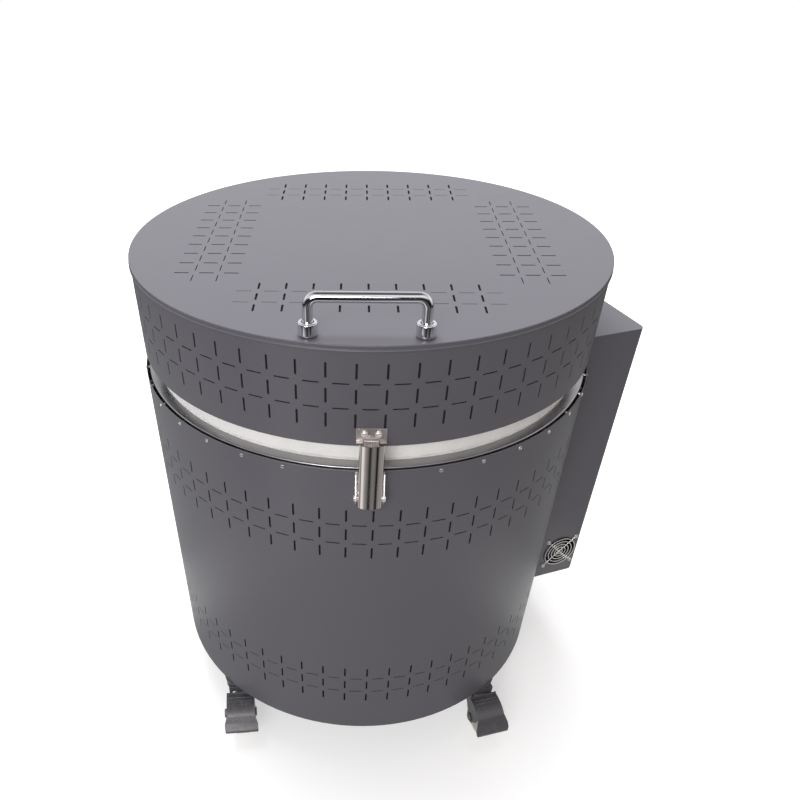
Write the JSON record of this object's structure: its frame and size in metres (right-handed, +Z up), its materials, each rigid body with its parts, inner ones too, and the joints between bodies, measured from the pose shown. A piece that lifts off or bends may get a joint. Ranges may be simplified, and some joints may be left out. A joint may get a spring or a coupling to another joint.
{
  "type": "electric kiln",
  "caption": "Round electric kiln on four swivel casters: perforated lid with bar handle, rear hinge, front over-centre latch and a side control box with a guarded fan.",
  "frame": {"origin": "centre of the bounding box on the floor, under the wheels", "axes": "+Z up, -Y towards the operator's side with the handle and the latch, +X to the operator's right, where the control box stands out at the side; the kiln's own axis is parallel to Z at x -0.038, y -0.004"},
  "size_m": [0.6412, 0.6144, 0.72],
  "materials": {
    "powder_coat": "dark grey textured powder coat on sheet steel",
    "stainless": "brushed stainless steel",
    "chrome": "bright chrome plate",
    "zinc": "bright zinc-plated steel",
    "ceramic_fibre": "white vacuum-formed ceramic fibre",
    "element_wire": "oxidised resistance alloy wire",
    "dark_plastic": "dark grey nylon",
    "black_plastic": "black moulded plastic",
    "cream_plastic": "cream nylon wheel",
    "red_plastic": "red translucent lamp lens",
    "key_rubber": "soft grey key caps"
  },
  "bodies": {
    "body": {"base_pan": "powder_coat", "body_jacket": "powder_coat", "rim_ring": "stainless", "insulation_wall": "ceramic_fibre", "insulation_floor": "ceramic_fibre", "heating_coil_1": "element_wire", "heating_coil_2": "element_wire", "heating_coil_3": "element_wire", "heating_coil_4": "element_wire", "thermocouple": "ceramic_fibre", "body_hinge_leaf": "zinc", "hinge_pin": "zinc", "latch_base": "stainless", "control_cover": "powder_coat", "control_chassis": "zinc", "relay_heat_sink": "zinc", "solid_state_relay": "black_plastic", "terminal_block": "cream_plastic", "temperature_controller": "black_plastic", "power_switch": "black_plastic", "pilot_lamp": "red_plastic", "cable_gland": "black_plastic", "fan_frame": "black_plastic", "fan_guard": "chrome", "caster_stem_front_left": "dark_plastic", "caster_stem_front_right": "dark_plastic", "caster_stem_rear_right": "dark_plastic", "caster_stem_rear_left": "dark_plastic"},
    "lid": {"lid_top_plate": "powder_coat", "lid_band": "powder_coat", "lid_insulation": "ceramic_fibre", "handle_bar": "chrome", "handle_collar_left": "chrome", "handle_collar_right": "chrome", "lid_hinge_leaf": "zinc", "latch_keeper": "stainless"},
    "latch_lever": {"latch_lever": "chrome"},
    "latch_strap": {"latch_strap": "stainless"},
    "power_rocker": {"power_rocker": "red_plastic"},
    "fan_rotor": {"fan_rotor": "black_plastic"},
    "controller_key_1": {"controller_key_1": "key_rubber"},
    "controller_key_2": {"controller_key_2": "key_rubber"},
    "controller_key_3": {"controller_key_3": "key_rubber"},
    "controller_key_4": {"controller_key_4": "key_rubber"},
    "caster_front_left": {"caster_fork_front_left": "dark_plastic", "caster_axle_front_left": "zinc"},
    "wheel_front_left": {"caster_wheel_front_left": "cream_plastic"},
    "caster_front_right": {"caster_fork_front_right": "dark_plastic", "caster_axle_front_right": "zinc"},
    "wheel_front_right": {"caster_wheel_front_right": "cream_plastic"},
    "caster_rear_right": {"caster_fork_rear_right": "dark_plastic", "caster_axle_rear_right": "zinc"},
    "wheel_rear_right": {"caster_wheel_rear_right": "cream_plastic"},
    "caster_rear_left": {"caster_fork_rear_left": "dark_plastic", "caster_axle_rear_left": "zinc"},
    "wheel_rear_left": {"caster_wheel_rear_left": "cream_plastic"},
    "pedal_front_left": {"brake_pedal_front_left": "dark_plastic"},
    "pedal_front_right": {"brake_pedal_front_right": "dark_plastic"}
  },
  "joints": [
    {"name": "lid_hinge", "type": "hinge", "parent": "body", "child": "lid", "pos_m": [-0.0383, 0.29717, 0.5556], "axis": [-1, 0, 0], "range_deg": [0, 100]},
    {"name": "latch_lever_pivot", "type": "hinge", "parent": "body", "child": "latch_lever", "pos_m": [-0.03262, -0.29907, 0.517], "axis": [0.9998, 0.0192, 0], "range_deg": [0, 150]},
    {"name": "latch_strap_pivot", "type": "hinge", "parent": "latch_lever", "child": "latch_strap", "pos_m": [-0.03259, -0.30067, 0.511], "axis": [0.9998, 0.0192, 0], "range_deg": [-120, 0]},
    {"name": "power_rocker_tilt", "type": "hinge", "parent": "body", "child": "power_rocker", "pos_m": [0.2912, 0.09444, 0.36], "axis": [0.3502, -0.9367, 0], "range_deg": [0, 18]},
    {"name": "fan_shaft", "type": "hinge", "parent": "body", "child": "fan_rotor", "pos_m": [0.28797, -0.00487, 0.185], "axis": [0.3502, -0.9367, 0], "continuous": true},
    {"name": "controller_key_1_press", "type": "slide", "parent": "body", "child": "controller_key_1", "axis": [-0.9367, -0.3502, 0], "range_m": [0, 0.001], "stiffness_N_per_m": 500},
    {"name": "controller_key_2_press", "type": "slide", "parent": "body", "child": "controller_key_2", "axis": [-0.9367, -0.3502, 0], "range_m": [0, 0.001], "stiffness_N_per_m": 500},
    {"name": "controller_key_3_press", "type": "slide", "parent": "body", "child": "controller_key_3", "axis": [-0.9367, -0.3502, 0], "range_m": [0, 0.001], "stiffness_N_per_m": 500},
    {"name": "controller_key_4_press", "type": "slide", "parent": "body", "child": "controller_key_4", "axis": [-0.9367, -0.3502, 0], "range_m": [0, 0.001], "stiffness_N_per_m": 500},
    {"name": "caster_front_left_swivel", "type": "hinge", "parent": "body", "child": "caster_front_left", "pos_m": [-0.21733, -0.19579, 0], "axis": [0, 0, 1], "continuous": true},
    {"name": "wheel_front_left_roll", "type": "hinge", "parent": "caster_front_left", "child": "wheel_front_left", "pos_m": [-0.21319, -0.22953, 0.032], "axis": [0.9925, 0.1219, 0], "continuous": true},
    {"name": "caster_front_right_swivel", "type": "hinge", "parent": "body", "child": "caster_front_right", "pos_m": [0.14993, -0.18681, 0], "axis": [0, 0, 1], "continuous": true},
    {"name": "wheel_front_right_roll", "type": "hinge", "parent": "caster_front_right", "child": "wheel_front_right", "pos_m": [0.15987, -0.21933, 0.032], "axis": [0.9563, 0.2924, 0], "continuous": true},
    {"name": "caster_rear_right_swivel", "type": "hinge", "parent": "body", "child": "caster_rear_right", "pos_m": [0.14407, 0.18638, 0], "axis": [0, 0, 1], "continuous": true},
    {"name": "wheel_rear_right_roll", "type": "hinge", "parent": "caster_rear_right", "child": "wheel_rear_right", "pos_m": [0.15055, 0.153, 0.032], "axis": [0.9816, 0.1908, 0], "continuous": true},
    {"name": "caster_rear_left_swivel", "type": "hinge", "parent": "body", "child": "caster_rear_left", "pos_m": [-0.2278, 0.17924, 0], "axis": [0, 0, 1], "continuous": true},
    {"name": "wheel_rear_left_roll", "type": "hinge", "parent": "caster_rear_left", "child": "wheel_rear_left", "pos_m": [-0.22543, 0.14532, 0.032], "axis": [0.9976, 0.0698, 0], "continuous": true},
    {"name": "pedal_front_left_press", "type": "hinge", "parent": "caster_front_left", "child": "pedal_front_left", "pos_m": [-0.21319, -0.22953, 0.032], "axis": [0.9925, 0.1219, 0], "range_deg": [0, 25]},
    {"name": "pedal_front_right_press", "type": "hinge", "parent": "caster_front_right", "child": "pedal_front_right", "pos_m": [0.15987, -0.21933, 0.032], "axis": [0.9563, 0.2924, 0], "range_deg": [0, 25]}
  ],
  "couplings": [
    {"joint": "latch_strap_pivot", "follows": "latch_lever_pivot", "ratio": -0.8}
  ]
}
